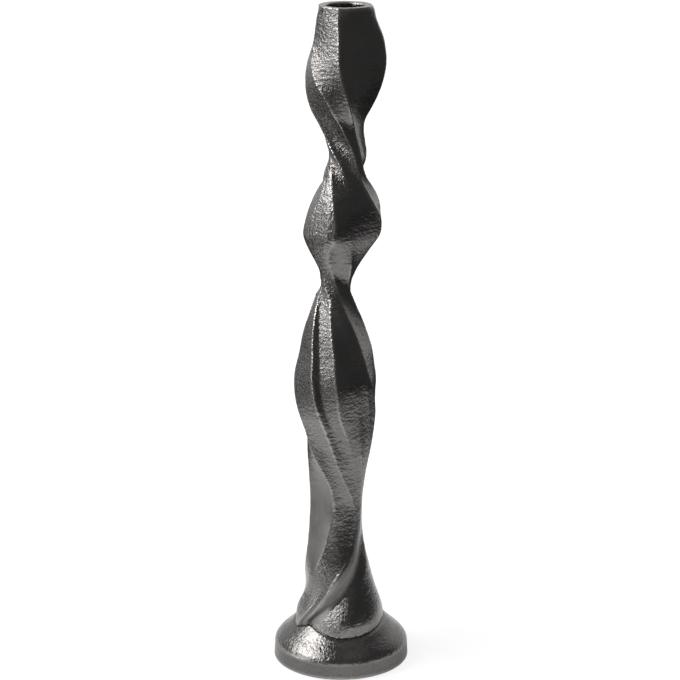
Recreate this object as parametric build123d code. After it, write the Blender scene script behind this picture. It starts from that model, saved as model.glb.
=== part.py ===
from build123d import *
import os
from math import cos, pi, sin, tan

# Spiral candle holder: a twisted, drooping column cast in metal, standing on a round domed foot.
# Millimetres, +Z up, origin on the table under the middle of the foot. The front is -Y.

# Driving dimensions
overall_height = 400.0
bulge_radius = 24.9
waist_radius = 9.9
lean = 4.3
foot_radius = 41.2

# Candle socket in the rim, for a standard dinner candle
socket_radius = 11.1
socket_depth = 28.0
rim_wall = 4.6
socket_mouth_chamfer = 0.7

# Foot casting
foot_height = 31.0
band_height = 8.5
band_draft = 0.5
seat_radius = 21.0
spigot_radius = 9.0
spigot_height = 5.0
spigot_chamfer = 0.6
spigot_end_gap = 0.3

# Underside of the foot, from the table up
pad_proud = 0.8
pad_thickness = 3.0
pad_rim_wall = 3.9
pad_clearance = 0.3
ballast_thickness = 11.0
ballast_ledge = 4.0
ballast_clearance = 0.3
ballast_drop = 0.3

# Screw that draws the column down on the foot and carries the ballast
screw_radius = 3.0
screw_length = 45.0
screw_head_radius = 5.0
screw_head_height = 6.0
screw_head_chamfer = 0.5
screw_tip_chamfer = 0.8
hex_key_size = 5.0
hex_key_depth = 3.0
washer_radius = 6.0
washer_thickness = 1.6
washer_clearance = 0.2
counterbore_radius = 7.0
counterbore_floor = 3.0
tapped_depth = 27.0

# Pin that sets the column's folds to the foot
pin_radius = 2.0
pin_length = 14.0
pin_offset = 15.0
pin_chamfer = 0.4
pin_end_gap = 0.5

# Fits
thread_clearance = 0.03
pin_clearance = 0.02
spigot_clearance = 0.1
screw_hole_clearance = 0.4
overrun = 1.0

# Radii under the foot, from the outside in
pad_recess_radius = foot_radius - pad_rim_wall
pad_radius = pad_recess_radius - pad_clearance
cavity_radius = pad_recess_radius - ballast_ledge
ballast_radius = cavity_radius - ballast_clearance

# Heights of the joint between column and foot, from the table up
foot_bottom = pad_proud
pad_seat = pad_thickness
cavity_roof = pad_seat + ballast_drop + ballast_thickness
spigot_top = foot_height + spigot_height
screw_seat = cavity_roof - counterbore_floor
screw_tip = screw_seat - washer_thickness + screw_length
tapped_top = spigot_top + spigot_end_gap + tapped_depth
pin_bottom = foot_height - pin_length / 2

# Half width of the column. Each row: height as a share of the overall height, then the half
# width as a share of the way from the waist radius to the bulge radius.
girth_shares = [
    (0.978, 0.530), (0.957, 0.680), (0.935, 0.800), (0.912, 0.875), (0.892, 0.850),
    (0.870, 0.725), (0.849, 0.505), (0.828, 0.235), (0.805, 0.115), (0.783, 0.105),
    (0.761, 0.190), (0.739, 0.420), (0.717, 0.665), (0.694, 0.835), (0.672, 0.880),
    (0.649, 0.645), (0.627, 0.305), (0.604, 0.030), (0.590, 0.000), (0.570, 0.127),
    (0.550, 0.333), (0.525, 0.560), (0.500, 0.733), (0.475, 0.870), (0.450, 0.985),
    (0.435, 1.000), (0.400, 0.933), (0.375, 0.807), (0.350, 0.687), (0.325, 0.600),
    (0.300, 0.513), (0.275, 0.447), (0.255, 0.407), (0.235, 0.413), (0.215, 0.433),
    (0.195, 0.467), (0.175, 0.533), (0.155, 0.633), (0.135, 0.720), (0.115, 0.790),
    (0.095, 0.930), (0.080, 1.040), (0.070, 1.070), (0.055, 1.080), (0.040, 1.080),
]

# How the middle of the column wanders. Each row: height share, then how far right and how far
# back, as shares of the lean.
lean_shares = [
    (1.000, 0.56, 0.00), (0.978, 0.72, 0.05), (0.950, 1.00, 0.12), (0.925, 0.88, 0.22),
    (0.900, 0.53, 0.30), (0.870, 0.16, 0.28), (0.845, -0.03, 0.18), (0.828, 0.02, 0.05),
    (0.810, 0.49, -0.14), (0.783, 0.91, -0.28), (0.750, 0.56, -0.37), (0.725, 0.60, -0.35),
    (0.694, 0.49, -0.14), (0.672, 0.16, 0.05), (0.649, -0.21, 0.23), (0.627, -0.35, 0.37),
    (0.604, -0.51, 0.42), (0.581, -0.84, 0.37), (0.550, -0.90, 0.19), (0.512, -0.79, -0.09),
    (0.489, -0.67, -0.23), (0.465, -0.81, -0.33), (0.420, -0.79, -0.23), (0.395, -0.60, -0.09),
    (0.371, -0.37, 0.05), (0.347, -0.26, 0.19), (0.325, -0.33, 0.28), (0.300, -0.47, 0.33),
    (0.250, -0.63, 0.28), (0.195, -0.72, 0.09), (0.153, -0.58, -0.07), (0.128, -0.37, -0.09),
    (0.104, -0.07, -0.07), (0.075, 0.00, -0.05), (0.035, 0.00, 0.00),
]

# Where each fold of the column runs. Each row: height share, then the place round the column as
# a share of a full turn, 0 at the front and growing to the right.
sweep_fold_shares = [
    (1.000, -0.208), (0.950, -0.211), (0.925, -0.185), (0.900, -0.145), (0.875, -0.085),
    (0.850, -0.042), (0.830, -0.004), (0.810, 0.021), (0.790, 0.047), (0.770, 0.083),
    (0.750, 0.120), (0.730, 0.144), (0.710, 0.172), (0.690, 0.205), (0.670, 0.225),
    (0.650, 0.240), (0.630, 0.250), (0.610, 0.265), (0.590, 0.300), (0.570, 0.350),
    (0.550, 0.405), (0.525, 0.460), (0.500, 0.500), (0.450, 0.560), (0.400, 0.620),
    (0.375, 0.655), (0.350, 0.700), (0.330, 0.735), (0.300, 0.750), (0.200, 0.748),
    (0.155, 0.740), (0.135, 0.725), (0.115, 0.690), (0.095, 0.650), (0.075, 0.610),
    (0.035, 0.570),
]
bright_fold_shares = [
    (1.000, -0.042), (0.950, -0.044), (0.925, -0.036), (0.900, -0.015), (0.875, 0.017),
    (0.850, 0.054), (0.830, 0.095), (0.810, 0.111), (0.790, 0.120), (0.770, 0.150),
    (0.750, 0.200), (0.730, 0.250), (0.710, 0.285), (0.690, 0.315), (0.650, 0.390),
    (0.630, 0.440), (0.610, 0.510), (0.590, 0.610), (0.570, 0.720), (0.550, 0.780),
    (0.525, 0.762), (0.500, 0.750), (0.475, 0.758), (0.450, 0.768), (0.425, 0.782),
    (0.400, 0.797), (0.375, 0.806), (0.350, 0.824), (0.325, 0.876), (0.300, 0.933),
    (0.275, 0.971), (0.255, 0.985), (0.235, 0.988), (0.215, 0.967), (0.195, 0.947),
    (0.175, 0.918), (0.155, 0.879), (0.135, 0.843), (0.115, 0.800), (0.095, 0.770),
    (0.075, 0.745), (0.035, 0.715),
]
knife_fold_shares = [
    (1.000, 0.208), (0.950, 0.217), (0.900, 0.236), (0.850, 0.264), (0.830, 0.270),
    (0.810, 0.272), (0.790, 0.285), (0.770, 0.325), (0.750, 0.395), (0.730, 0.450),
    (0.710, 0.495), (0.690, 0.530), (0.670, 0.565), (0.650, 0.600), (0.630, 0.644),
    (0.610, 0.728), (0.590, 0.824), (0.570, 0.836), (0.550, 0.856), (0.525, 0.874),
    (0.500, 0.882), (0.475, 0.896), (0.450, 0.907), (0.400, 0.932), (0.375, 0.944),
    (0.350, 0.962), (0.325, 0.990), (0.300, 1.026), (0.275, 1.075), (0.255, 1.112),
    (0.235, 1.118), (0.215, 1.107), (0.195, 1.087), (0.175, 1.049), (0.155, 0.998),
    (0.135, 0.954), (0.115, 0.915), (0.095, 0.878), (0.075, 0.843), (0.060, 0.815),
    (0.035, 0.802),
]
groove_shares = [
    (1.000, 0.246), (0.900, 0.275), (0.850, 0.300), (0.830, 0.306), (0.810, 0.310),
    (0.790, 0.335), (0.770, 0.395), (0.750, 0.480), (0.730, 0.540), (0.690, 0.600),
    (0.650, 0.655), (0.630, 0.695), (0.610, 0.765), (0.590, 0.844), (0.570, 0.862),
    (0.550, 0.882), (0.525, 0.899), (0.500, 0.908), (0.475, 0.922), (0.450, 0.933),
    (0.425, 0.945), (0.400, 0.960), (0.375, 0.975), (0.350, 0.997), (0.325, 1.030),
    (0.300, 1.066), (0.275, 1.105), (0.255, 1.137), (0.235, 1.140), (0.215, 1.126),
    (0.195, 1.102), (0.175, 1.063), (0.155, 1.011), (0.135, 0.966), (0.115, 0.926),
    (0.095, 0.889), (0.075, 0.853), (0.060, 0.826), (0.035, 0.812),
]
lesser_fold_shares = [
    (1.000, 0.285), (0.900, 0.310), (0.850, 0.350), (0.830, 0.370), (0.810, 0.390),
    (0.790, 0.430), (0.770, 0.520), (0.750, 0.620), (0.730, 0.690), (0.710, 0.715),
    (0.690, 0.728), (0.670, 0.735), (0.650, 0.745), (0.630, 0.765), (0.610, 0.805),
    (0.590, 0.866), (0.570, 0.958), (0.550, 0.972), (0.525, 0.982), (0.500, 0.989),
    (0.475, 0.997), (0.450, 1.004), (0.425, 1.010), (0.400, 1.015), (0.375, 1.030),
    (0.350, 1.055), (0.325, 1.080), (0.300, 1.112), (0.275, 1.142), (0.255, 1.165),
    (0.235, 1.158), (0.215, 1.139), (0.195, 1.114), (0.175, 1.074), (0.155, 1.021),
    (0.135, 0.976), (0.115, 0.935), (0.095, 0.897), (0.075, 0.860), (0.060, 0.833),
    (0.035, 0.819),
]
fading_fold_shares = [
    (1.000, 0.375), (0.900, 0.400), (0.850, 0.460), (0.830, 0.500), (0.810, 0.550),
    (0.790, 0.630), (0.770, 0.715), (0.750, 0.812), (0.730, 0.847), (0.710, 0.832),
    (0.690, 0.824), (0.670, 0.822), (0.650, 0.815), (0.630, 0.800), (0.610, 0.845),
    (0.590, 0.895), (0.570, 0.978), (0.550, 1.026), (0.525, 1.076), (0.500, 1.098),
    (0.450, 1.106), (0.400, 1.108), (0.375, 1.110), (0.350, 1.115), (0.325, 1.130),
    (0.300, 1.157), (0.275, 1.180), (0.255, 1.194), (0.235, 1.190), (0.215, 1.177),
    (0.195, 1.152), (0.175, 1.116), (0.155, 1.067), (0.135, 1.017), (0.115, 0.964),
    (0.095, 0.914), (0.075, 0.871), (0.060, 0.843), (0.035, 0.829),
]
stripe_fold_shares = [
    (1.000, 0.445), (0.900, 0.475), (0.850, 0.540), (0.830, 0.580), (0.810, 0.640),
    (0.790, 0.735), (0.770, 0.815), (0.750, 0.872), (0.730, 0.903), (0.710, 0.919),
    (0.690, 0.931), (0.670, 0.935), (0.650, 0.924), (0.630, 0.910), (0.610, 0.922),
    (0.590, 0.975), (0.570, 1.022), (0.550, 1.056), (0.525, 1.096), (0.500, 1.115),
    (0.475, 1.127), (0.450, 1.140), (0.425, 1.155), (0.400, 1.170), (0.375, 1.180),
    (0.350, 1.190), (0.325, 1.200), (0.300, 1.212), (0.275, 1.225), (0.255, 1.234),
    (0.235, 1.226), (0.215, 1.208), (0.195, 1.183), (0.175, 1.152), (0.155, 1.110),
    (0.135, 1.057), (0.115, 0.996), (0.095, 0.933), (0.075, 0.881), (0.060, 0.854),
    (0.035, 0.840),
]
lobe_fold_shares = [
    (1.000, 0.514), (0.900, 0.550), (0.850, 0.620), (0.830, 0.660), (0.810, 0.720),
    (0.790, 0.800), (0.770, 0.851), (0.750, 0.904), (0.730, 0.933), (0.710, 0.949),
    (0.690, 0.961), (0.670, 0.965), (0.650, 0.954), (0.630, 0.940), (0.610, 0.953),
    (0.590, 1.018), (0.570, 1.054), (0.550, 1.083), (0.525, 1.114), (0.500, 1.129),
    (0.475, 1.147), (0.450, 1.168), (0.425, 1.196), (0.400, 1.222), (0.375, 1.238),
    (0.350, 1.250), (0.300, 1.265), (0.255, 1.275), (0.215, 1.285), (0.195, 1.275),
    (0.175, 1.240), (0.155, 1.190), (0.135, 1.140), (0.115, 1.090), (0.095, 1.060),
    (0.075, 1.050), (0.035, 1.045),
]
thin_fold_shares = [
    (1.000, 0.645), (0.950, 0.680), (0.925, 0.730), (0.900, 0.757), (0.875, 0.770),
    (0.850, 0.780), (0.830, 0.787), (0.810, 0.800), (0.790, 0.865), (0.770, 0.953),
    (0.750, 1.010), (0.730, 1.027), (0.710, 1.040), (0.690, 1.052), (0.670, 1.064),
    (0.650, 1.079), (0.630, 1.099), (0.610, 1.121), (0.590, 1.160), (0.570, 1.200),
    (0.550, 1.228), (0.525, 1.250), (0.500, 1.260), (0.450, 1.272), (0.425, 1.287),
    (0.400, 1.310), (0.375, 1.345), (0.350, 1.385), (0.300, 1.450), (0.255, 1.490),
    (0.215, 1.480), (0.195, 1.430), (0.175, 1.370), (0.155, 1.315), (0.135, 1.280),
    (0.115, 1.265), (0.075, 1.255), (0.035, 1.250),
]

# How far each fold stands out at each height. 1 is a full crest, 0 lies flat between its
# neighbours, and below 0 it is a groove, sunk by that share of the half width.
full_stand_shares = [(1.0, 1.0), (0.0, 1.0)]
groove_stand_shares = [
    (1.000, 0.60), (0.620, 0.60), (0.600, 0.00), (0.590, -0.03), (0.570, -0.08),
    (0.525, -0.11), (0.450, -0.10), (0.400, -0.09), (0.375, -0.07), (0.350, -0.04),
    (0.325, -0.01), (0.300, 0.20), (0.240, 0.10), (0.215, 0.00), (0.195, -0.02),
    (0.175, -0.03), (0.155, -0.04), (0.135, -0.05), (0.115, -0.06), (0.090, -0.06),
    (0.075, -0.04), (0.060, -0.01), (0.035, 0.00),
]
lesser_stand_shares = [
    (1.000, 0.60), (0.780, 0.60), (0.740, 1.00), (0.620, 1.00), (0.590, 0.80),
    (0.570, 0.90), (0.550, 1.00), (0.450, 0.90), (0.400, 0.60), (0.370, 0.30),
    (0.330, 0.20), (0.260, 0.40), (0.215, 1.00), (0.035, 1.00),
]
fading_stand_shares = [
    (1.000, 1.00), (0.560, 1.00), (0.530, 0.70), (0.500, 0.25), (0.475, 0.08),
    (0.450, 0.05), (0.400, 0.10), (0.375, 0.30), (0.350, 0.70), (0.325, 1.00),
    (0.035, 1.00),
]
stripe_stand_shares = [
    (1.000, 0.60), (0.790, 0.60), (0.770, 0.97), (0.640, 0.97), (0.600, 0.40),
    (0.560, 0.10), (0.400, 0.00), (0.350, 0.50), (0.275, 0.50), (0.235, 0.10),
    (0.215, -0.01), (0.195, -0.02), (0.155, -0.03), (0.095, -0.04), (0.075, -0.03),
    (0.060, -0.02), (0.035, -0.01),
]
thin_stand_shares = [
    (1.000, 1.00), (0.790, 1.00), (0.770, 0.75), (0.750, 0.50), (0.730, 0.25),
    (0.710, 0.12), (0.690, 0.05), (0.670, 0.10), (0.650, 0.35), (0.630, 0.70),
    (0.610, 1.00), (0.000, 1.00),
]

# Reach of a fold beyond the column's half width, as a share of it.
plain_reach_shares = [(1.0, 1.0), (0.0, 1.0)]
knife_reach_shares = [
    (1.000, 1.00), (0.135, 1.00), (0.115, 1.03), (0.095, 1.07), (0.075, 1.11),
    (0.060, 1.13), (0.035, 1.12),
]
hem_reach_shares = [
    (1.000, 1.00), (0.135, 1.00), (0.115, 1.05), (0.095, 1.10), (0.085, 1.13),
    (0.076, 1.15), (0.068, 1.155), (0.060, 1.14), (0.050, 1.11), (0.035, 1.08),
]
lesser_reach_shares = [
    (1.000, 1.00), (0.240, 1.00), (0.215, 1.01), (0.195, 1.03), (0.175, 1.04),
    (0.135, 1.06), (0.115, 1.07), (0.080, 1.08), (0.060, 1.04), (0.035, 1.02),
]
fading_reach_shares = [
    (1.000, 1.00), (0.115, 1.00), (0.095, 1.01), (0.080, 1.02), (0.035, 1.02),
]
bright_reach_shares = [(1.000, 1.00), (0.115, 1.00), (0.095, 1.04), (0.080, 1.06), (0.035, 1.04)]

# Fullness of the faces between the folds. 1 is round, 0 is flat and below 0 is hollow. The lobes
# in front swell below one height, the left side and the back below another.
fullness_shares = [
    (1.000, 0.80), (0.980, 0.50), (0.955, 0.28), (0.915, 0.12), (0.875, 0.05),
    (0.840, -0.30), (0.805, -0.80), (0.765, -0.60), (0.735, -0.10), (0.700, 0.05),
    (0.665, 0.25), (0.640, 0.35), (0.615, 0.10), (0.590, -0.50), (0.565, -0.40),
    (0.525, -0.10), (0.475, 0.05), (0.400, 0.20), (0.350, 0.15), (0.300, 0.10),
    (0.250, 0.10), (0.150, 0.10), (0.035, 0.10),
]
lobe_start_share = 0.2
side_start_share = 0.35
lobe_fullness_shares = [row for row in fullness_shares if row[0] > lobe_start_share]
skirt_fullness_shares = lobe_fullness_shares + [(0.200, 0.40), (0.150, 0.90), (0.070, 1.25), (0.035, 1.30)]
lobe_fullness_shares += [(0.200, 0.40), (0.150, 0.90), (0.035, 0.95)]
upper_fullness_shares = [row for row in fullness_shares if row[0] > side_start_share]
left_fullness_shares = upper_fullness_shares + [(0.300, 0.35), (0.035, 0.35)]
back_fullness_shares = upper_fullness_shares + [(0.300, 0.50), (0.200, 0.65), (0.035, 0.80)]

# The folds in their order round the column: route, stand, reach and the fullness of the face
# that follows.
folds = [
    (sweep_fold_shares, full_stand_shares, plain_reach_shares, left_fullness_shares),
    (bright_fold_shares, full_stand_shares, bright_reach_shares, lobe_fullness_shares),
    (knife_fold_shares, full_stand_shares, knife_reach_shares, fullness_shares),
    (groove_shares, groove_stand_shares, knife_reach_shares, lobe_fullness_shares),
    (lesser_fold_shares, lesser_stand_shares, lesser_reach_shares, lobe_fullness_shares),
    (fading_fold_shares, fading_stand_shares, fading_reach_shares, lobe_fullness_shares),
    (stripe_fold_shares, stripe_stand_shares, hem_reach_shares, skirt_fullness_shares),
    (lobe_fold_shares, full_stand_shares, hem_reach_shares, lobe_fullness_shares),
    (thin_fold_shares, thin_stand_shares, plain_reach_shares, back_fullness_shares),
]

# Domed side of the foot. Each row: radius as a share of the foot's, then height as a share of
# the way from the top of the band to the seat.
dome_shares = [
    (0.978, 0.120), (0.940, 0.230), (0.882, 0.340), (0.795, 0.480), (0.692, 0.670), (0.595, 0.840),
]

# Number of sections the column is drawn through, and where the lowest one lies as a share of
# the overall height, inside the foot's dome.
section_count = 64
lowest_section_share = 0.04


def value_between(rows, place, column=1):
    """Smooth value of a table's column at a place, with no overshoot between rows."""
    keys = sorted((row[0], row[column]) for row in rows)
    if place <= keys[0][0]:
        return keys[0][1]
    if place >= keys[-1][0]:
        return keys[-1][1]
    last = len(keys) - 1
    index = max(i for i in range(last) if keys[i][0] <= place)

    def rise(i):
        return (keys[i + 1][1] - keys[i][1]) / (keys[i + 1][0] - keys[i][0])

    def slope(i):
        if i == 0:
            return rise(0)
        if i == last:
            return rise(last - 1)
        before, after = rise(i - 1), rise(i)
        if before * after <= 0:
            return 0.0
        return 2 * before * after / (before + after)

    step = keys[index + 1][0] - keys[index][0]
    t = (place - keys[index][0]) / step
    start, end = keys[index][1], keys[index + 1][1]
    return (
        start * (2 * t**3 - 3 * t**2 + 1)
        + slope(index) * step * (t**3 - 2 * t**2 + t)
        + end * (3 * t**2 - 2 * t**3)
        + slope(index + 1) * step * (t**3 - t**2)
    )


def half_width(share):
    """Half width of the column at a height share, from the rim down."""
    rim_radius = socket_radius + rim_wall
    rows = [(row[0], waist_radius + row[1] * (bulge_radius - waist_radius)) for row in girth_shares]
    return value_between(rows + [(1.0, rim_radius)], share)


def middle(share):
    """Middle of the column at a height share."""
    right = lean * value_between(lean_shares, share, 1)
    back = lean * value_between(lean_shares, share, 2)
    return Vector(right, back, overall_height * share)


def on_ray(centre, turn, radius):
    """Point at a radius and turn about the centre, level with it."""
    return centre + Vector(radius * sin(turn), -radius * cos(turn), 0)


def flat_radius(turn_a, radius_a, turn_b, radius_b, turn):
    """Radius of the straight line from one ray's point to another's, along a third ray."""
    reach = radius_a * radius_b * sin(turn_b - turn_a)
    return reach / (radius_a * sin(turn - turn_a) + radius_b * sin(turn_b - turn))


def crest_points(share):
    """Turn and radius of every fold at a height share, in order round the column."""
    girth = half_width(share)
    turns = [2 * pi * value_between(route, share) for route, stand, reach, full in folds]
    reaches = [girth * value_between(reach, share) for route, stand, reach, full in folds]
    count = len(folds)
    radii = []
    for index, (route, stand, reach, full) in enumerate(folds):
        level = value_between(stand, share)
        after = (index + 1) % count
        turn_before = turns[index - 1] - (2 * pi if index == 0 else 0)
        turn_after = turns[after] + (2 * pi if after == 0 else 0)
        flat = flat_radius(turn_before, reaches[index - 1], turn_after, reaches[after], turns[index])
        if level < 0:
            radii.append(flat + level * girth)
        else:
            radii.append(flat + level * (reaches[index] - flat))
    return list(zip(turns, radii))


def face_curve(centre, start, end, fullness):
    """Curve of one face from crest to crest: an arc, a straight line or a hollow."""
    (turn_a, radius_a), (turn_b, radius_b) = start, end
    first = on_ray(centre, turn_a, radius_a)
    last = on_ray(centre, turn_b, radius_b)
    pull = 4 / 3 * tan((turn_b - turn_a) / 4)
    round_first = first + Vector(cos(turn_a), sin(turn_a), 0) * pull * radius_a
    round_last = last - Vector(cos(turn_b), sin(turn_b), 0) * pull * radius_b
    flat_first = first + (last - first) / 3
    flat_last = last - (last - first) / 3
    second = flat_first + (round_first - flat_first) * fullness
    third = flat_last + (round_last - flat_last) * fullness
    return Bezier(first, second, third, last)


def column_section(share):
    """Closed outline of the column at a height share."""
    centre = middle(share)
    crests = crest_points(share)
    turn, radius = crests[0]
    crests.append((turn + 2 * pi, radius))
    edges = []
    for index, (route, stand, reach, full) in enumerate(folds):
        fullness = value_between(full, share)
        edges.append(face_curve(centre, crests[index], crests[index + 1], fullness))
    return Wire(edges)


def column_blank():
    """The whole twisted column, from inside the foot's dome up to the rim."""
    span = 1 - lowest_section_share
    shares = [lowest_section_share + span * i / (section_count - 1) for i in range(section_count)]
    return Solid.make_loft([column_section(share) for share in shares])


def upright(radius, low, high, across=0.0):
    """Upright cylinder between two heights."""
    bar = Cylinder(radius, high - low, align=(Align.CENTER, Align.CENTER, Align.MIN))
    return bar.moved(Location((across, 0, low)))


def chamfered(bar, size, ends=(0, -1)):
    """The same bar with the edges of its lowest and highest face chamfered."""
    levels = bar.edges().group_by(Axis.Z)
    edges = [edge for end in ends for edge in levels[end]]
    return chamfer(edges, size)


def foot_profile():
    """Half outline of the foot's outside: band, dome and the flat seat for the column."""
    band_top = foot_radius - band_draft
    rise = foot_height - band_height
    dome = [(foot_radius * across, band_height + rise * up) for across, up in dome_shares]
    with BuildSketch(Plane.XZ) as sketch:
        with BuildLine():
            Polyline((0, foot_bottom), (foot_radius, foot_bottom), (band_top, band_height))
            Spline((band_top, band_height), *dome, (seat_radius, foot_height))
            Polyline((seat_radius, foot_height), (0, foot_height), (0, foot_bottom))
        make_face()
    return sketch.sketch


def foot_body():
    """Solid of the foot's outside, before it is hollowed."""
    return revolve(foot_profile(), Axis.Z)


def foot_casting():
    """Round domed foot with its spigot, ballast cavity and screw hole."""
    spigot = chamfered(upright(spigot_radius, foot_height - overrun, spigot_top), spigot_chamfer, (-1,))
    body = foot_body() + spigot
    body -= upright(pad_recess_radius, foot_bottom - overrun, pad_seat)
    body -= upright(cavity_radius, pad_seat - overrun, cavity_roof)
    body -= upright(screw_radius + screw_hole_clearance, cavity_roof - overrun, spigot_top + overrun)
    body -= upright(pin_radius + pin_clearance, pin_bottom, foot_height + overrun, pin_offset)
    return body


def stem_casting():
    """Twisted column: folds outside, candle socket above, register and tapped hole below."""
    body = column_blank() - foot_body()
    recess_top = spigot_top + spigot_end_gap
    body -= upright(spigot_radius + spigot_clearance, foot_height - overrun, recess_top)
    body -= upright(screw_radius + thread_clearance, recess_top - overrun, tapped_top)
    pin_hole_top = foot_height + pin_length / 2 + pin_end_gap
    body -= upright(pin_radius + pin_clearance, foot_height - overrun, pin_hole_top, pin_offset)
    rim = middle(1.0)
    socket = upright(socket_radius, overall_height - socket_depth, overall_height + overrun)
    mouth = Cone(
        socket_radius,
        socket_radius + socket_mouth_chamfer,
        socket_mouth_chamfer,
        align=(Align.CENTER, Align.CENTER, Align.MAX),
    )
    body -= socket.moved(Location((rim.X, rim.Y, 0)))
    body -= mouth.moved(Location((rim.X, rim.Y, overall_height)))
    return body


def locating_pin():
    """Short upright pin, half in the foot and half in the column."""
    pin = upright(pin_radius, pin_bottom, pin_bottom + pin_length, pin_offset)
    return chamfered(pin, pin_chamfer)


def ballast_plate():
    """Steel disc that fills the foot's cavity, counterbored for the screw's head."""
    bottom = cavity_roof - ballast_thickness
    plate = upright(ballast_radius, bottom, cavity_roof)
    plate -= upright(screw_radius + screw_hole_clearance, bottom - overrun, cavity_roof + overrun)
    plate -= upright(counterbore_radius, bottom - overrun, screw_seat)
    return plate


def screw_washer():
    """Plain washer on the floor of the ballast's counterbore."""
    under = screw_seat - washer_thickness
    washer = upright(washer_radius, under, screw_seat)
    return washer - upright(screw_radius + washer_clearance, under - overrun, screw_seat + overrun)


def foot_screw():
    """Socket head cap screw, head down in the ballast and thread in the column."""
    under_head = screw_seat - washer_thickness
    head_bottom = under_head - screw_head_height
    head = upright(screw_head_radius, head_bottom, under_head)
    head = chamfered(head, screw_head_chamfer, (0,))
    shank = chamfered(upright(screw_radius, under_head - overrun, screw_tip), screw_tip_chamfer, (-1,))
    key = extrude(RegularPolygon(hex_key_size / 2, 6, major_radius=False), hex_key_depth)
    return head + shank - key.moved(Location((0, 0, head_bottom)))


def base_pad():
    """Rubber disc let into the foot's underside, standing a little proud of it."""
    return upright(pad_radius, 0, pad_thickness)


builders = [
    stem_casting,
    foot_casting,
    locating_pin,
    foot_screw,
    screw_washer,
    ballast_plate,
    base_pad,
]
os.makedirs("parts", exist_ok=True)
for build in builders:
    shape = build()
    print(build.__name__, round(shape.volume), shape.is_valid)
    export_step(shape, f"parts/{build.__name__}.step")
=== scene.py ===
# %% [markdown]
# # A spiral candle holder in black cast metal
# The real thing is a slim column of cast aluminium whose folds twist round it like a wrung cloth. It
# stands on a small domed foot, and the top is bored for one taper candle.
# The CAD model gives every piece its true size and place. This script only dresses it: it gives the
# castings the skin that came out of the sand mould, and every piece its finish, and sets up a plain
# studio.

import math

import bmesh
import bpy
import numpy as np
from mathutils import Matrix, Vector, noise
from mathutils.bvhtree import BVHTree


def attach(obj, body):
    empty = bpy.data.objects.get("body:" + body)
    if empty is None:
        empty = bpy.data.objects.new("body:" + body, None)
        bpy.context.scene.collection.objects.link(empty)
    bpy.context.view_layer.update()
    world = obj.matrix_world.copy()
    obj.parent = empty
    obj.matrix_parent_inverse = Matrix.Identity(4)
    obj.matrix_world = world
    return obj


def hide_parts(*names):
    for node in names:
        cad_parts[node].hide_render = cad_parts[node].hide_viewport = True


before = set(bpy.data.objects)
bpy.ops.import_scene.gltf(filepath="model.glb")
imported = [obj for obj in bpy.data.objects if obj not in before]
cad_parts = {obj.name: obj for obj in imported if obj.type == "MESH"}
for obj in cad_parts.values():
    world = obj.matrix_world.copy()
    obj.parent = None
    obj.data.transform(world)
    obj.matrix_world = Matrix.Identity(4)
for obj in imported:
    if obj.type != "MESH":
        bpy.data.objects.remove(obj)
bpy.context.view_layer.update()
MM = 0.001
print("CAD nodes:", ", ".join(sorted(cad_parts)))

# %% [markdown]
# ## The camera
# The holder was photographed from about 1.4 m away with a long lens, from slightly above its top edge, so
# we look into the socket and down on the foot. A long lens keeps the column's sides nearly parallel. The
# lens, the place and the tilt below were found by matching the foot's width, the height and the ellipse of
# the foot.

# %% Camera
camera_data = bpy.data.cameras.new("camera")
camera_data.sensor_width = 36.0
camera_data.lens = 116.05
camera_data.clip_start = 0.01
camera = bpy.data.objects.new("camera", camera_data)
bpy.context.scene.collection.objects.link(camera)
camera.location = (-0.6 * MM, -1241 * MM, 578.7 * MM)
camera.rotation_euler = (math.radians(73.1), 0, 0)
bpy.context.scene.camera = camera
bpy.context.scene.view_settings.view_transform = "Standard"
print("camera", round(camera.location.length, 3), "m from the middle of the foot")


# %% [markdown]
# ## Helpers for all node trees
# Materials and the room's light are drawn with nodes. Each node needs the same three things: its kind, a
# few settings, and what feeds its inputs. So one small function does all of it, for every kind of node.
# Blender puts some nodes in each new tree, and a second function clears them away.
# Colours are noted as the sRGB hex values that a paint program shows, and a last function turns them to
# the linear values that the renderer counts in.

# %% Node helper and colours
def add(tree, kind, feeds=None, **settings):
    """Puts a node in the tree. feeds maps an input's name to a value or to another node's output."""
    node = tree.nodes.new("ShaderNode" + kind)
    for name, value in settings.items():
        setattr(node, name, value)
    for name, value in (feeds or {}).items():
        socket = next(s for s in node.inputs if name in (s.identifier, s.name))
        if isinstance(value, bpy.types.NodeSocket):
            tree.links.new(value, socket)
        else:
            socket.default_value = value
    return node


def empty_tree(owner):
    """Switches nodes on for a material or the world, and hands over its tree with nothing in it."""
    owner.use_nodes = True
    owner.node_tree.nodes.clear()
    return owner.node_tree


def paint(hex_value):
    """A linear colour with full alpha from an sRGB hex value."""
    parts = [int(hex_value[i : i + 2], 16) / 255 for i in (1, 3, 5)]
    return tuple(p / 12.92 if p <= 0.04045 else ((p + 0.055) / 1.055) ** 2.4 for p in parts) + (1.0,)


print("mid grey in linear light:", [round(c, 3) for c in paint("#808080")])

# %% [markdown]
# ## The table
# A plain white sheet lies under the holder and ends a little way in front of it. It is one flat face, scaled
# to its size and moved back, so that most of it lies behind the holder.

# %% Table
table_mesh = bpy.data.meshes.new("table")
sheet = bmesh.new()
bmesh.ops.create_grid(sheet, x_segments=1, y_segments=1, size=1)
half_width, half_length, middle_behind = 0.60, 2.30, 1.68
bmesh.ops.scale(sheet, vec=(half_width, half_length, 1), verts=sheet.verts)
bmesh.ops.translate(sheet, vec=(0, middle_behind, 0), verts=sheet.verts)
sheet.to_mesh(table_mesh)
sheet.free()
table = bpy.data.objects.new("table", table_mesh)
bpy.context.scene.collection.objects.link(table)
print("table", [round(d, 2) for d in table.dimensions[:2]], "m")

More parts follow.
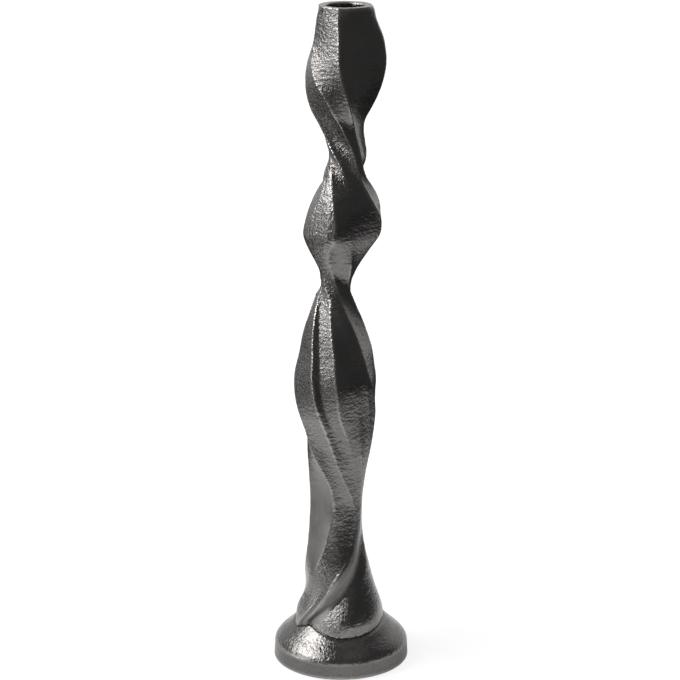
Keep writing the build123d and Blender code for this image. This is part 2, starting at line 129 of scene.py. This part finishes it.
# %% [markdown]
# ## Paper for the table
# The camera should see clean white with only the holder's faint shadow. So most of what it sees is the
# sheet's own glow, and a part of it is real lamplight, which the holder can shade.
# The dark metal mirrors the sheet too: every surface that leans over it shows it as a soft grey. Mirrored,
# the sheet shows a painted pool of lamplight that fades outwards, lit by the lamps as well, and painted
# shade close to the foot. For light bouncing round, the sheet is plain white.

# %% Paper
paper = bpy.data.materials.new("white_paper_sheet")
tree = empty_tree(paper)
path = add(tree, "LightPath")
seen = add(tree, "Math", {"Value": path.outputs["Is Camera Ray"], "Value_001": path.outputs["Is Glossy Ray"]},
           operation="MAXIMUM")
seen_too = add(tree, "Math", {"Value": seen.outputs[0], "Value_001": path.outputs["Is Transmission Ray"]},
               operation="MAXIMUM")
place = add(tree, "TexCoord").outputs["Object"]
away = add(tree, "VectorMath", {"Vector": place}, operation="LENGTH").outputs["Value"]
# seen straight, the sheet glows white, a little less close to the holder, where its shadow falls
white = add(tree, "MapRange", {"Value": away, "From Min": 0.10, "From Max": 0.40,
                               "To Min": 0.84, "To Max": 1.0}, interpolation_type="SMOOTHSTEP")
lit = add(tree, "BsdfDiffuse", {"Color": paint("#8a8a8a")})
glow = add(tree, "Emission", {"Strength": white.outputs["Result"]})
straight = add(tree, "AddShader", {"Shader": lit.outputs[0], "Shader_001": glow.outputs[0]})
# mirrored in the metal, it shows a painted pool of lamplight that fades from 170 mm outwards, and painted
# shade close to the foot
painted_pool = add(tree, "MapRange", {"Value": away, "From Min": 0.17, "From Max": 0.37,
                              "To Min": 0.88, "To Max": 0.07}, interpolation_type="SMOOTHSTEP")
painted_near_glow = add(tree, "MapRange", {"Value": away, "From Min": 0.17, "From Max": 0.40,
                                   "To Min": 0.45, "To Max": 0.0}, interpolation_type="SMOOTHSTEP")
# painted shade: close to the foot, the mirrored sheet is painted darker
painted_foot_shade = add(tree, "MapRange", {"Value": away, "From Min": 0.05, "From Max": 0.13,
                                "To Min": 0.62, "To Max": 1.0}, interpolation_type="SMOOTHSTEP")
shaded_pool, shaded_glow = (
    add(tree, "Math", {"Value": whole.outputs["Result"], "Value_001": painted_foot_shade.outputs["Result"]},
        operation="MULTIPLY") for whole in (painted_pool, painted_near_glow))
pool_lit = add(tree, "BsdfDiffuse", {"Color": shaded_pool.outputs[0]})
pool_glow = add(tree, "Emission", {"Strength": shaded_glow.outputs[0]})
mirrored = add(tree, "AddShader", {"Shader": pool_lit.outputs[0], "Shader_001": pool_glow.outputs[0]})
shown = add(tree, "MixShader", {"Fac": path.outputs["Is Glossy Ray"], "Shader": straight.outputs[0],
                                "Shader_001": mirrored.outputs[0]})
bounce = add(tree, "BsdfDiffuse", {"Color": paint("#e6e6e6")})
both = add(tree, "MixShader", {"Fac": seen_too.outputs[0], "Shader": bounce.outputs[0],
                               "Shader_001": shown.outputs[0]})
add(tree, "OutputMaterial", {"Surface": both.outputs[0]})
table_mesh.materials.append(paper)
print("material", paper.name)

# %% [markdown]
# ## The room
# Dark metal is a mirror, so what stands round it decides how it looks. The photographer's side of the room
# is dim, which is why the faces turned to us are nearly black. Behind the holder is a white wall that
# tilts over it a little, and it lights up the edges of the folds. The world does both by direction: one
# dot product tells how far a ray goes towards the wall. The camera sees white everywhere, and soft bounced
# light is an even grey.

# %% World
world = bpy.data.worlds.new("studio")
bpy.context.scene.world = world
tree = empty_tree(world)
dim_room, white_wall, bounced = 0.11, 0.76, 0.35
middle_of_wall = (0.02, 0.95, 0.30)
heading = add(tree, "TexCoord").outputs["Generated"]
to_wall = add(tree, "VectorMath", {"Vector": heading, "Vector_001": middle_of_wall}, operation="DOT_PRODUCT")
wall = add(tree, "MapRange", {"Value": to_wall.outputs["Value"], "From Min": 0.30, "From Max": 0.76,
                              "To Min": dim_room, "To Max": white_wall}, interpolation_type="SMOOTHSTEP")
path = add(tree, "LightPath")
for_mirror = add(tree, "Mix", {"Factor_Float": path.outputs["Is Glossy Ray"], "A_Float": bounced,
                               "B_Float": wall.outputs["Result"]}, data_type="FLOAT")
straight = add(tree, "Math", {"Value": path.outputs["Is Camera Ray"],
                              "Value_001": path.outputs["Is Transmission Ray"]}, operation="MAXIMUM")
level = add(tree, "Mix", {"Factor_Float": straight.outputs[0], "A_Float": for_mirror.outputs["Result"],
                          "B_Float": 1.0}, data_type="FLOAT")
light = add(tree, "Background", {"Color": (1, 1, 1, 1), "Strength": level.outputs["Result"]})
add(tree, "OutputWorld", {"Surface": light.outputs[0]})
print("world set: white wall behind, dim room in front")


# %% [markdown]
# ## The lamps
# Two soft boxes stand to the left, a little in front of the holder. The low one is mirrored in the foot
# and in the folds that turn left. The high one is nearer and shows in the upper facets, which lean back.
# Three weak white cards fill in: one low at the left, for the flare of the column, one in front and one
# overhead.

# %% Lamps
def soft_box(name, azimuth, distance, height, size, brightness):
    """A glowing rectangle. Azimuth 0 is in front, 90 to the right. A mirror of it shows its brightness."""
    data = bpy.data.lights.new(name, "AREA")
    data.shape = "RECTANGLE"
    data.size, data.size_y = size
    data.energy = brightness * math.pi * size[0] * size[1]
    lamp = bpy.data.objects.new(name, data)
    bpy.context.scene.collection.objects.link(lamp)
    turn = math.radians(azimuth)
    lamp.location = (distance * math.sin(turn), -distance * math.cos(turn), height)
    middle_of_holder = Vector((0, 0, 0.20))
    aim = middle_of_holder - lamp.location
    lamp.rotation_euler = aim.to_track_quat("-Z", "Y").to_euler()
    print(name, "gives", round(data.energy, 1), "W")


soft_box("low_box", -73, 2.20, 0.48, (1.24, 0.90), 2.9)
soft_box("high_box", -79, 0.95, 0.97, (0.90, 0.54), 9.4)
soft_box("left_card", -93, 0.78, -0.01, (0.80, 0.24), 0.95)
soft_box("front_card", -12, 1.70, 0.05, (1.10, 0.70), 0.40)
soft_box("top_card", 30, 0.90, 1.50, (0.90, 0.70), 0.25)


# %% [markdown]
# ## The cast skin
# A sand casting has no sharp edge and no flat face. The metal takes the grain of the sand, skins over in
# wrinkles, and is brushed by hand, which leaves shallow dents. The dents and the larger wrinkles are a few
# millimetres wide, so they are made as real shape. The finer ones are a bump pattern.
# The way: copy the CAD mesh, merge its loose triangles, and let a Remesh give it one even net of small
# squares. The Voxel kind would nibble the sharp crests, which are the whole look here. The Sharp kind puts
# points right on them. Then smooth noise can move every point by a tenth of a millimetre or two.

# %% Recast a CAD node as an even net
def recast(node_name, name, depth, fill):
    """A copy of the node as one even net. Its squares are its longest side / fill / 2**depth wide."""
    raw = bmesh.new()
    raw.from_mesh(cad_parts[node_name].data)
    bmesh.ops.remove_doubles(raw, verts=raw.verts, dist=0.005 * MM)
    mesh = bpy.data.meshes.new(name + "_raw")
    raw.to_mesh(mesh)
    raw.free()
    piece = bpy.data.objects.new(name, mesh)
    bpy.context.scene.collection.objects.link(piece)
    net = piece.modifiers.new("even_net", "REMESH")
    net.mode = "SHARP"
    net.octree_depth = depth
    net.scale = fill
    net.sharpness = 1.0
    net.use_remove_disconnected = False
    finished = bpy.data.meshes.new_from_object(piece.evaluated_get(bpy.context.evaluated_depsgraph_get()))
    piece.modifiers.clear()
    piece.data = finished
    finished.name = name
    finished.materials.clear()
    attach(piece, "root")
    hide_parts(node_name)
    print(name, len(finished.vertices), "points,", len(finished.polygons), "faces")
    return piece


column = recast("stem_casting", "column", 9, 0.86)
foot = recast("foot_casting", "foot", 7, 0.90)


# %% [markdown]
# ## Points as rows of numbers
# The two nets have over a hundred thousand points, and a loop over all of them is slow. So the next steps
# read them as rows of numbers and work on all the rows at once. These helpers read and write such rows:
# where the points are, which way each one faces, which two points an edge joins, and one number of our own
# on each point, which a material can read.

# %% Read and write points
def read_points(mesh):
    """Where every point is, as rows."""
    points = np.empty(len(mesh.vertices) * 3)
    mesh.vertices.foreach_get("co", points)
    return points.reshape(-1, 3)


def write_points(mesh, points):
    """Moves every point to its row."""
    mesh.vertices.foreach_set("co", points.ravel())
    mesh.update()


def point_normals(mesh):
    """The normal of every point, as rows."""
    normals = np.empty(len(mesh.vertices) * 3)
    mesh.vertices.foreach_get("normal", normals)
    return normals.reshape(-1, 3)


def edge_ends(mesh):
    """The two points of every edge, as rows."""
    ends = np.empty(len(mesh.edges) * 2, dtype=np.int64)
    mesh.edges.foreach_get("vertices", ends)
    return ends.reshape(-1, 2)


def write_mark(mesh, name, values):
    """Saves one number on every point, for the material to read."""
    mesh.attributes.new(name, "FLOAT", "POINT").data.foreach_set("value", values.astype(np.float32))


print("column:", len(read_points(column.data)), "points joined by", len(edge_ends(column.data)), "edges")


# %% [markdown]
# ## Sharp edges
# The crests have to stay crisp lines when the rest is rounded, so they are found first. A bmesh knows at
# what angle the two faces at an edge meet, and whether the edge stands out as a ridge or lies in as a
# valley.

# %% Find the sharp edges
def sharp_points(mesh, least_angle):
    """Two flags for every point: on a sharp ridge, and in a sharp valley."""
    ridge, valley = (np.zeros(len(mesh.vertices), dtype=bool) for _ in range(2))
    shape = bmesh.new()
    shape.from_mesh(mesh)
    for edge in shape.edges:
        if edge.calc_face_angle(0.0) > math.radians(least_angle):
            (ridge if edge.is_convex else valley)[[v.index for v in edge.verts]] = True
    shape.free()
    return ridge, valley


sharp_angle = 30
ridge, valley = sharp_points(column.data, sharp_angle)
print("column:", int(ridge.sum()), "points on ridges,", int(valley.sum()), "in valleys")


# %% [markdown]
# ## Where the column meets the foot
# The column was cast on its own and fitted to the dome of the foot. Round its hem runs a fine dark seam. To
# make it, we have to know which of the column's points lie on the dome. A BVH tree finds the nearest place
# on a mesh quickly. It takes one point at a time, so here a loop is needed.

# %% Find the points on the seam
def off_surface(points, node_name, reach):
    """How far each point is from a CAD node's surface, up to reach, and the surface's normal there."""
    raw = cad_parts[node_name].data
    tree = BVHTree.FromPolygons([v.co for v in raw.vertices], [tuple(f.vertices) for f in raw.polygons])
    away, normals = np.full(len(points), reach), np.zeros((len(points), 3))
    for i, p in enumerate(points):
        place, normal, _, distance = tree.find_nearest(Vector(p), reach)
        if place is not None:
            away[i], normals[i] = distance, normal
    return away, normals


seam_reach = 1.5 * MM
seated_within = 0.45 * MM
near_foot, dome_normals = off_surface(read_points(column.data), "foot_casting", seam_reach)
seated = near_foot < seated_within
print("column:", int(seated.sum()), "points on the seam")


# %% [markdown]
# ## Round the column
# The even net still follows the flat triangles of the CAD mesh. Drawing every point towards the middle of
# its neighbours rounds the flats and the crests a little, as sand does. Points on a sharp edge move less,
# and the points on the seam stay where they are.
# Above the hem, the folds are soft rolls with sharp valleys between them, and higher up the crests are
# sharp. So the rounding is strong below and light above. At the end, the column's lower face is pressed a
# little into the dome.

# %% Round the column
def drawn_in(points, ends, shares, ease=1.0):
    """For each share in turn, every point goes that share of the way to the middle of its neighbours."""
    here, there = np.concatenate([ends, ends[:, ::-1]]).T
    near = np.bincount(here, minlength=len(points))[:, None]
    for share in shares:
        middle = np.stack([np.bincount(here, points[there, k], len(points)) for k in range(3)], axis=1) / near
        points = points + share * ease * (middle - points)
    return points


def soft_step(values, low, high):
    """0 below low, 1 above high, and a smooth way between."""
    t = np.clip((values - low) / (high - low), 0, 1)
    return t * t * (3 - 2 * t)


on_sharp_edge, in_soft_valley = 0.3, 0.05  # points there go this share of the way the others go
rolls_below, crests_above = 75 * MM, 105 * MM
seam_depth = 0.40 * MM

points, ends = read_points(column.data), edge_ends(column.data)
ease = np.where(ridge | valley, on_sharp_edge, 1.0)[:, None]
ease[seated] = 0.0
points = drawn_in(points, ends, [0.5] * 3, ease)

# strong below: every third share is negative, which swells the shape again, so that it doesn't shrink
low_part = 1 - soft_step(points[:, 2], rolls_below, crests_above)
ease = (low_part * np.where(valley, in_soft_valley, 1.0))[:, None]
ease[seated] = 0.0
points = drawn_in(points, ends, [0.5, 0.5, -0.45] * 6, ease)
points[seated] -= dome_normals[seated] * seam_depth
moved = np.linalg.norm(points - read_points(column.data), axis=1)
write_points(column.data, points)
print("column: points moved by up to", round(moved.max() / MM, 2), "mm")


# %% [markdown]
# ## The groove in the dome
# The foot is rounded in the same way. Along the hem, a narrow groove is pressed into its dome, so that the
# seam is a real gap and the hem a clean line.

# %% Round the foot and press the groove
groove_floor, groove_edge = 0.3 * MM, 1.3 * MM

ridge, valley = sharp_points(foot.data, sharp_angle)
ease = np.where(ridge | valley, on_sharp_edge, 1.0)[:, None]
points = drawn_in(read_points(foot.data), edge_ends(foot.data), [0.5] * 2, ease)
write_points(foot.data, points)
near_column, _ = off_surface(points, "stem_casting", seam_reach)
outwards = point_normals(foot.data)
on_dome = outwards[:, 2] > 0.3
press = seam_depth * (1 - soft_step(near_column, groove_floor, groove_edge)) * on_dome
write_points(foot.data, points - outwards * press[:, None])
print("foot: groove pressed in at", int((press > 0).sum()), "points")


# %% [markdown]
# ## Crests and hollows
# The material paints the crests lighter, partly as wear and partly as a painted highlight, and the hollows
# darker, as painted shade, so it has to know where they are. Drawn in for many rounds, the points give a
# much softer copy of the piece: where the real surface stands above that copy there is a crest, and where it
# lies below there is a hollow. This is saved on the points.

# %% Mark the crests
def mark_crests(piece, rounds, full_height):
    """Writes how far each point stands above a softened copy: 1 on a full crest, 0 in a full hollow."""
    points = read_points(piece.data)
    soft = drawn_in(points, edge_ends(piece.data), [0.6] * rounds)
    rise = ((points - soft) * point_normals(piece.data)).sum(1)
    crest = np.clip(0.5 + 0.5 * rise / full_height, 0, 1)
    write_mark(piece.data, "crest", crest)
    print(piece.name, "crest from", round(crest.min(), 2), "to", round(crest.max(), 2))


mark_crests(column, 25, 0.9 * MM)
mark_crests(foot, 20, 0.5 * MM)


# %% [markdown]
# ## Where the brush has been
# A casting is brushed by hand before it is plated, and the brush doesn't reach all of it alike. The lobes
# above the foot keep the full texture of the sand where they turn left, and the upper facets that turn
# left keep most of it. The faces in front and to the right, and the slim shaft, are rubbed more than half
# smooth. The shaft's left face and the long roll over the foot are almost smooth.
# This too is saved on the points, and the material flattens its texture there.

# %% Brushed places
# the way of the roll: height in mm, and how far round to the right of the front it is there, in turns
roll_way = {24: -0.150, 38: -0.085, 54: 0.015, 70: 0.110, 86: 0.170}


def mark_brushed(piece, way):
    """Writes 1 where a point is brushed smooth, 0 where it keeps its sandy texture. Heights are in mm."""
    points = read_points(piece.data)
    height = points[:, 2] / MM
    to_right = point_normals(piece.data)[:, 0]
    turn = np.arctan2(points[:, 0], -points[:, 1]) / (2 * math.pi)
    off_roll = np.abs(turn - np.interp(height, list(way), list(way.values())))
    roll = (1 - soft_step(off_roll, 0.035, 0.06)) * (1 - soft_step(height, 84, 96))
    left_face = soft_step(-to_right, 0.28, 0.72) * soft_step(height, 32, 70)
    left_face *= 1 - soft_step(height, 95, 160)
    shaft = soft_step(height, 58, 78) * (1 - soft_step(height, 95, 150))
    rubbed = 0.35 + 0.35 * np.maximum(soft_step(to_right, -0.2, 0.3), shaft)
    rubbed -= 0.12 * soft_step(-to_right, 0.1, 0.4) * soft_step(height, 150, 190)  # left of the bulges
    rubbed -= 0.35 * soft_step(-to_right, 0.0, 0.3) * (1 - soft_step(height, 58, 78))  # lobes over the foot
    brushed = 1 - (1 - roll) * (1 - left_face) * (1 - rubbed)
    write_mark(piece.data, "brushed", brushed)
    print(piece.name, "brushed at", int((brushed > 0.5).sum()), "points")


mark_brushed(column, roll_way)


# %% [markdown]
# ## Dents and wrinkles as real shape
# Two kinds of unevenness are big enough to see in the outline of a highlight. Shallow dents, 4 mm or so
# across, come from the sand and the brush. Wrinkles run level round the column about 3 mm apart, where the
# metal chilled as the mould filled. Both go inwards only, so that the piece stays within the CAD model's
# box, and where the brush went over it most, it has taken most of them off.

# %% Uneven skin
# sizes in mm, and the share that the brush takes off at most
dent_width, small_dent_width = 4.2, 2.4
wrinkle_length, wrinkle_gap = 9.0, 2.8
brushed_off = 0.75


def uneven(piece, dent_depth, wrinkle_depth, seed):
    """Moves every point inwards along its normal by smooth noise."""
    mesh = piece.data
    points = read_points(mesh)
    depth = np.empty(len(points))
    left_over = np.ones(len(points))
    if "brushed" in mesh.attributes:
        brushed = np.empty(len(points), dtype=np.float32)
        mesh.attributes["brushed"].data.foreach_get("value", brushed)
        left_over = 1 - brushed_off * soft_step(brushed, 0.6, 1.0)
    shift = Vector((seed, 0.7 * seed, 0.3 * seed))
    for i, p in enumerate(points):
        here = Vector(p) / MM
        dents = noise.noise(here / dent_width + shift) + 0.6 * noise.noise(here / small_dent_width - shift)
        level = Vector((here.x / wrinkle_length, here.y / wrinkle_length, here.z / wrinkle_gap))
        wrinkles = noise.noise(level + shift * 2)
        # the two constants keep all of it below the surface
        depth[i] = left_over[i] * (dent_depth * (dents - 1.2) + wrinkle_depth * (wrinkles - 0.8))
    write_points(mesh, points + point_normals(mesh) * depth[:, None])
    mesh.polygons.foreach_set("use_smooth", np.ones(len(mesh.polygons), dtype=bool))
    print(piece.name, "moved by", round(depth.min() / MM, 3), "to", round(depth.max() / MM, 3), "mm")


uneven(column, 0.07 * MM, 0.05 * MM, 3.1)
uneven(foot, 0.05 * MM, 0.03 * MM, 8.4)


# %% [markdown]
# ## Blackened cast aluminium
# The castings are aluminium, plated and toned to a black nickel: a dark metal mirror with a faint warm
# cast, not a black paint, so it is fully metallic with a dark colour. Sand grain, about 1.5 mm coarse, and
# fine level wrinkles break the mirror up into sparkle. The crests are painted lighter: partly wear from
# handling and polishing, partly a painted highlight. The hollows are darker, as painted shade, and duller.

# %% Cast metal
def cast_metal(name, tone_dark, tone_mid, tone_bright, grain_height, wrinkle_height):
    """Black nickel on a sand-cast skin: a cloudy dark mirror with grain, level wrinkles and fine pits."""
    material = bpy.data.materials.new(name)
    tree = empty_tree(material)
    place = add(tree, "TexCoord").outputs["Object"]
    crest = add(tree, "Attribute", attribute_name="crest").outputs["Fac"]

    # cloudy toning, patches 12 mm across
    clouds = add(tree, "TexNoise", {"Vector": place, "Scale": 1 / 0.012, "Detail": 4.0, "Roughness": 0.6})
    # sand grain of the mould, 1.6 mm lumps that hold finer ones
    grain = add(tree, "TexNoise", {"Vector": place, "Scale": 1 / 0.0016, "Detail": 3.0, "Roughness": 0.55})
    # level wrinkles, 1.8 mm apart: the pattern is drawn out sideways
    flat = add(tree, "Mapping", {"Vector": place, "Scale": (0.30, 0.30, 1.0)})
    wrinkles = add(tree, "TexNoise", {"Vector": flat.outputs["Vector"], "Scale": 1 / 0.0018, "Detail": 2.0})
    # pits from trapped sand: really 0.2 mm, drawn 0.7 mm apart because finer ones don't show
    pits = add(tree, "TexVoronoi", {"Vector": place, "Scale": 1 / 0.0007})
    pit_floor = add(tree, "MapRange", {"Value": pits.outputs["Distance"], "From Min": 0.0, "From Max": 0.35,
                                       "To Min": 0.0, "To Max": 1.0}, interpolation_type="SMOOTHSTEP")

    # the three patterns as relief, less of it where the brush has been
    brushed = add(tree, "Attribute", attribute_name="brushed").outputs["Fac"]
    strength = add(tree, "MapRange", {"Value": brushed, "To Min": 1.0, "To Max": 0.15}).outputs["Result"]
    relief = add(tree, "Bump", {"Height": grain.outputs["Fac"], "Distance": grain_height,
                                "Strength": strength})
    relief = add(tree, "Bump", {"Height": wrinkles.outputs["Fac"], "Distance": wrinkle_height,
                                "Strength": strength, "Normal": relief.outputs["Normal"]})
    relief = add(tree, "Bump", {"Height": pit_floor.outputs["Result"], "Distance": 0.02 * MM,
                                "Strength": 0.5, "Normal": relief.outputs["Normal"]})

    # tone: cloudy at random; lighter on the crests, partly wear and partly a painted highlight; darker in the
    # hollows, as painted shade
    worn_and_highlit = add(tree, "MapRange", {"Value": crest, "From Min": 0.60, "From Max": 0.95}).outputs["Result"]
    deep = add(tree, "MapRange", {"Value": crest, "From Min": 0.45, "From Max": 0.10}).outputs["Result"]
    tone = paint(tone_dark)
    for share, next_tone in ((clouds.outputs["Fac"], tone_mid), (worn_and_highlit, tone_bright), (deep, tone_dark)):
        tone = add(tree, "Mix", {"Factor_Float": share, "A_Color": tone, "B_Color": paint(next_tone)},
                   data_type="RGBA").outputs["Result"]

    # gloss: cloudy too, duller in hollows, and a satin where the brush has been
    dull = add(tree, "MapRange", {"Value": clouds.outputs["Fac"], "From Min": 0.3, "From Max": 0.7,
                                  "To Min": 0.16, "To Max": 0.28})
    satin = add(tree, "MapRange", {"Value": brushed, "From Min": 0.75, "From Max": 1.0,
                                   "To Min": 0.0, "To Max": 0.20})
    in_hollows = add(tree, "Math", {"Value": deep, "Value_001": 0.12, "Value_002": dull.outputs["Result"]},
                     operation="MULTIPLY_ADD")
    roughness = add(tree, "Math", {"Value": in_hollows.outputs[0], "Value_001": satin.outputs["Result"]},
                    operation="ADD")
    skin = add(tree, "BsdfPrincipled", {"Base Color": tone, "Metallic": 1.0,
                                        "Roughness": roughness.outputs[0],
                                        "Normal": relief.outputs["Normal"]})
    add(tree, "OutputMaterial", {"Surface": skin.outputs[0]})
    print("material", name)
    return material


nickel_tones = ("#6b6968", "#7d7b79", "#a8a5a2")
column.data.materials.append(cast_metal("black_nickel_cast_column", *nickel_tones, 0.80 * MM, 0.42 * MM))
foot.data.materials.append(cast_metal("black_nickel_cast_foot", *nickel_tones, 0.40 * MM, 0.15 * MM))


# %% [markdown]
# ## Turned and plated steel
# Under the foot, out of sight, are the screw in black oxide, its zinc plated washer, the ground pin and
# the plain ballast plate. All are steel parts with turning marks: fine rings round the upright axis. A
# Wave texture in rings draws them, from the part's own position. At scale 1 its rings stand pi / 10 apart,
# so pi / 10 over the real gap is the scale.

# %% Steel
def steel(name, tone, shade, roughness, ring_gap):
    """Turned steel: fine rings round the upright axis and a cloudy tone."""
    material = bpy.data.materials.new(name)
    tree = empty_tree(material)
    place = add(tree, "TexCoord").outputs["Object"]
    turning = {"Vector": place, "Scale": math.pi / 10 / ring_gap, "Distortion": 0.6}
    rings = add(tree, "TexWave", turning, wave_type="RINGS", rings_direction="Z")
    clouds = add(tree, "TexNoise", {"Vector": place, "Scale": 1 / 0.004, "Detail": 4.0})
    base = add(tree, "Mix", {"Factor_Float": clouds.outputs["Fac"], "A_Color": paint(shade),
                             "B_Color": paint(tone)}, data_type="RGBA")
    marks = add(tree, "Bump", {"Height": rings.outputs["Fac"], "Distance": 0.01 * MM, "Strength": 0.6})
    dull = add(tree, "MapRange", {"Value": clouds.outputs["Fac"], "To Min": roughness - 0.05,
                                  "To Max": roughness + 0.08})
    skin = add(tree, "BsdfPrincipled", {"Base Color": base.outputs["Result"], "Metallic": 1.0,
                                        "Roughness": dull.outputs["Result"],
                                        "Normal": marks.outputs["Normal"]})
    add(tree, "OutputMaterial", {"Surface": skin.outputs[0]})
    return material


def finish_node(node_name, material):
    """Gives a CAD node that stays as it is a better material in every slot."""
    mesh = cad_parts[node_name].data
    mesh.materials.clear()
    mesh.materials.append(material)
    print(node_name, "wears", material.name)


finish_node("locating_pin", steel("ground_steel_pin", "#c9c9c7", "#aeaeac", 0.25, 0.4 * MM))
finish_node("foot_screw", steel("black_oxide_screw", "#4c4d4f", "#37383a", 0.36, 0.5 * MM))
finish_node("screw_washer", steel("zinc_plated_washer", "#c4c6c8", "#a4a7aa", 0.34, 0.5 * MM))
finish_node("ballast_plate", steel("faced_steel_ballast", "#a8a5a0", "#8a8681", 0.38, 0.8 * MM))

# %% [markdown]
# ## Rubber sheet
# The pad under the foot is punched from black rubber sheet. Such sheet is pressed between cloths, which
# print a fine square weave on it. Two Wave textures at a right angle, with bands 0.8 mm apart, draw that
# print.

# %% Rubber pad
rubber = bpy.data.materials.new("pressed_rubber_sheet")
tree = empty_tree(rubber)
place = add(tree, "TexCoord").outputs["Object"]
weave_scale = math.pi / 10 / (0.8 * MM)
threads = {"Vector": place, "Scale": weave_scale, "Distortion": 0.3}
warp, weft = (add(tree, "TexWave", threads, bands_direction=way).outputs["Fac"] for way in "XY")
weave = add(tree, "Math", {"Value": warp, "Value_001": weft}, operation="MULTIPLY")
bloom = add(tree, "TexNoise", {"Vector": place, "Scale": 1 / 0.009, "Detail": 5.0})
base = add(tree, "Mix", {"Factor_Float": bloom.outputs["Fac"], "A_Color": paint("#191918"),
                         "B_Color": paint("#2b2a29")}, data_type="RGBA")
print_marks = add(tree, "Bump", {"Height": weave.outputs[0], "Distance": 0.06 * MM, "Strength": 0.7})
dull = add(tree, "MapRange", {"Value": bloom.outputs["Fac"], "To Min": 0.62, "To Max": 0.80})
skin = add(tree, "BsdfPrincipled", {"Base Color": base.outputs["Result"], "Roughness": dull.outputs["Result"],
                                    "Normal": print_marks.outputs["Normal"]})
add(tree, "OutputMaterial", {"Surface": skin.outputs[0]})
finish_node("base_pad", rubber)
